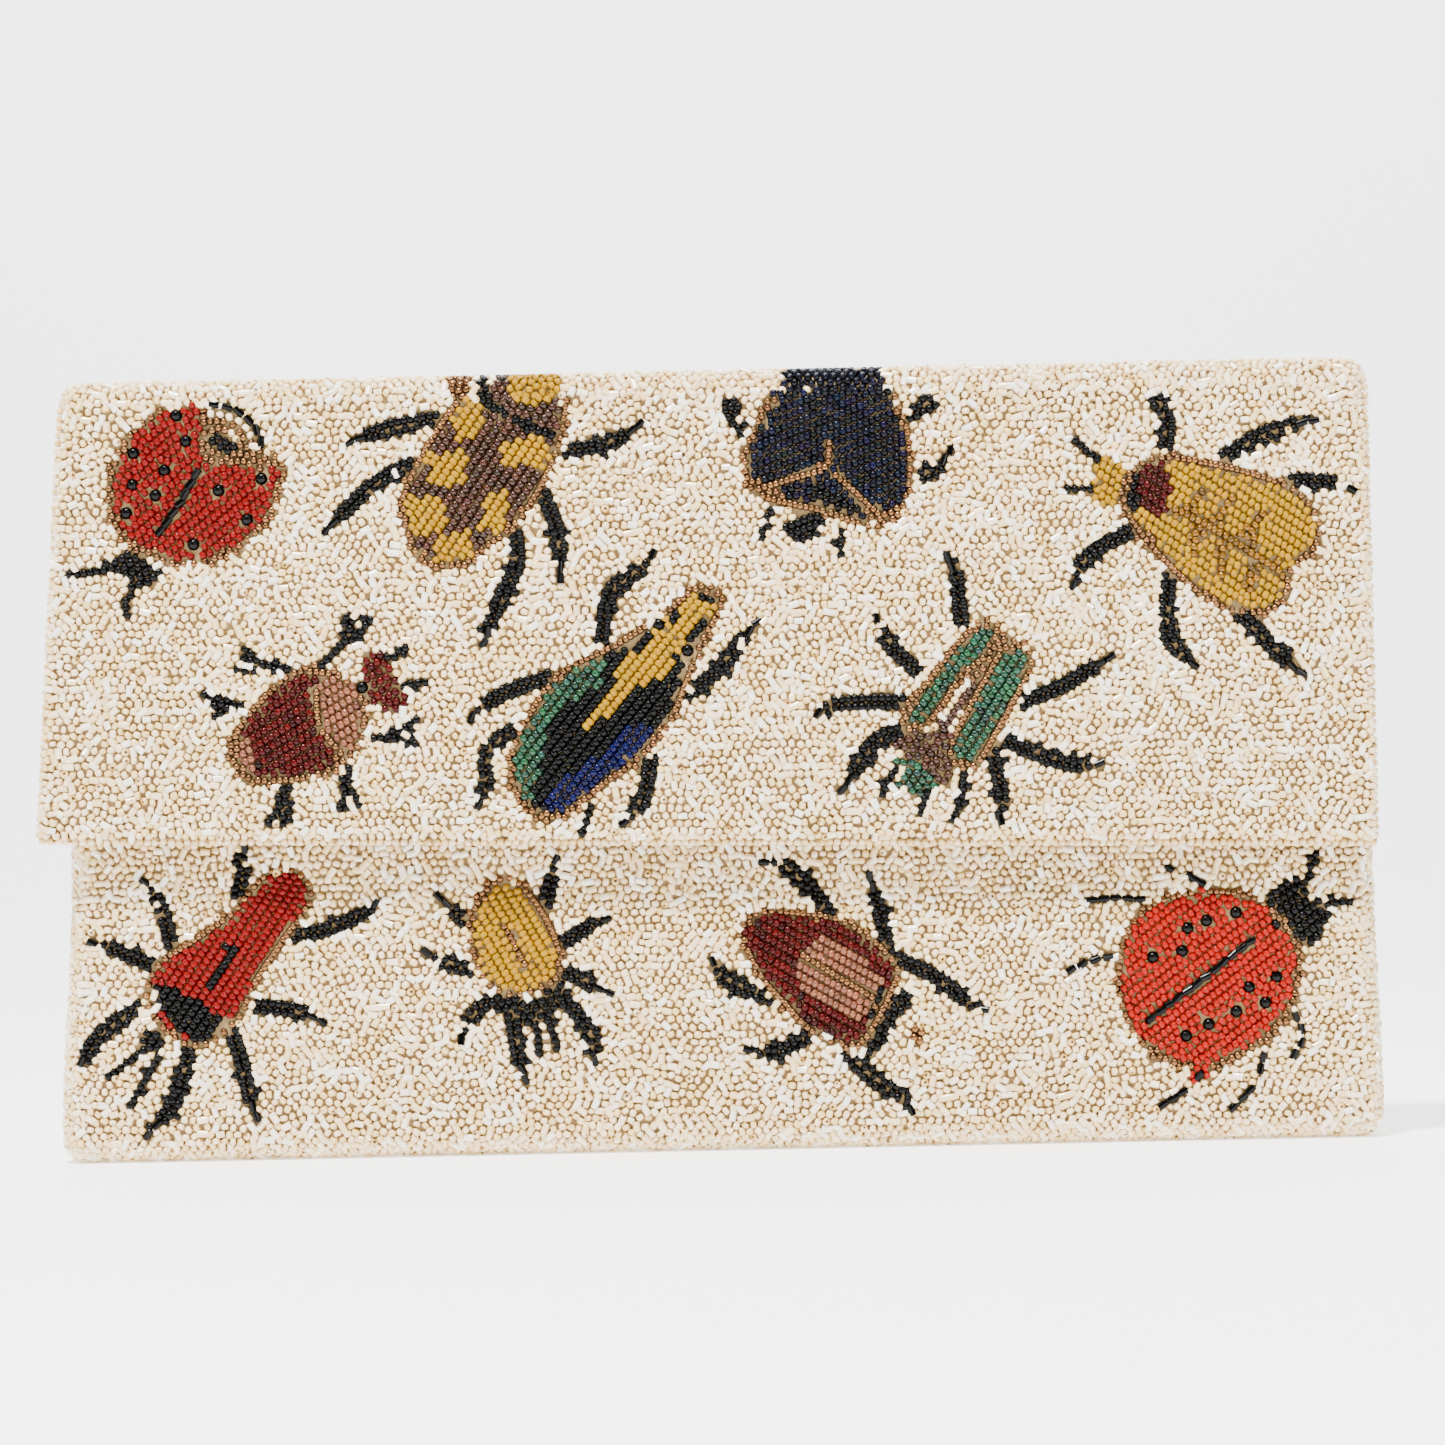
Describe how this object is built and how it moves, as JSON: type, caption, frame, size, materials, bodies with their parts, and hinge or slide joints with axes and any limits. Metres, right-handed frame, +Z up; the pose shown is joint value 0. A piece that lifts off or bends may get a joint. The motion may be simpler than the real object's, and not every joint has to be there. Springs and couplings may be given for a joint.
{
  "type": "beaded clutch purse",
  "caption": "Fold-over envelope clutch covered in cream glass beads with beaded beetle motifs, a magnetic snap and a satin lining.",
  "frame": {"origin": "middle of the flat base of the closed, upright bag", "axes": "X along the bag, the front with the flap faces -Y, +Z up from the base"},
  "size_m": [0.3115, 0.0303, 0.182],
  "materials": {
    "cream_beads": "lustre glass seed beads and satin cut tubes",
    "ground_cloth": "woven cotton",
    "felt": "pressed felt board",
    "satin": "satin",
    "grosgrain": "ribbed tape",
    "nickel": "polished nickel plate",
    "ferrite": "sintered magnet",
    "red_beads": "opaque gloss",
    "yellow_beads": "opaque gloss",
    "brown_beads": "lustre",
    "iris_beads": "iris metallic",
    "amber_beads": "silver-lined",
    "garnet_beads": "silver-lined",
    "crimson_beads": "silver-lined",
    "peach_beads": "silver-lined",
    "green_beads": "silver-lined",
    "cobalt_beads": "silver-lined",
    "coral_beads": "opaque gloss",
    "bronze_beads": "metallic bronze glass",
    "black_beads": "jet gloss"
  },
  "bodies": {
    "pouch": {"front_lining": "satin", "front_board": "felt", "front_cloth": "ground_cloth", "front_field": "cream_beads", "back_lining": "satin", "back_board": "felt", "back_cloth": "ground_cloth", "back_field": "cream_beads", "left_side_field": "cream_beads", "right_side_field": "cream_beads", "base_field": "cream_beads", "gusset_cloth": "ground_cloth", "gusset_lining": "satin", "base_board": "felt", "mouth_binding": "grosgrain", "slip_pocket": "satin", "pocket_binding": "grosgrain", "back_roll": "cream_beads", "snap_socket": "nickel", "snap_magnet": "ferrite", "snap_socket_washer": "nickel", "front_red": "red_beads", "front_yellow": "yellow_beads", "front_crimson": "crimson_beads", "front_peach": "peach_beads", "front_coral": "coral_beads", "front_bronze": "bronze_beads", "front_black": "black_beads", "front_tubes": "black_beads", "front_rounds": "black_beads"},
    "fold": {"strip_lining": "satin", "strip_felt": "felt", "strip_cloth": "ground_cloth", "strip_field": "cream_beads", "front_roll": "cream_beads"},
    "flap": {"flap_lining": "satin", "flap_board": "felt", "flap_cloth": "ground_cloth", "flap_field": "cream_beads", "flap_edge_beads": "cream_beads", "flap_red": "red_beads", "flap_yellow": "yellow_beads", "flap_brown": "brown_beads", "flap_iris": "iris_beads", "flap_amber": "amber_beads", "flap_garnet": "garnet_beads", "flap_crimson": "crimson_beads", "flap_peach": "peach_beads", "flap_green": "green_beads", "flap_cobalt": "cobalt_beads", "flap_bronze": "bronze_beads", "flap_black": "black_beads", "flap_tubes": "black_beads", "flap_rounds": "black_beads", "snap_stud": "nickel", "snap_stud_washer": "nickel"}
  },
  "joints": [
    {"name": "back_fold", "type": "hinge", "parent": "pouch", "child": "fold", "pos_m": [0, 0.0089, 0.1799], "axis": [-1, 0, 0], "range_deg": [0, 90]},
    {"name": "front_fold", "type": "hinge", "parent": "fold", "child": "flap", "pos_m": [0, -0.0161, 0.1799], "axis": [-1, 0, 0], "range_deg": [0, 90]}
  ]
}
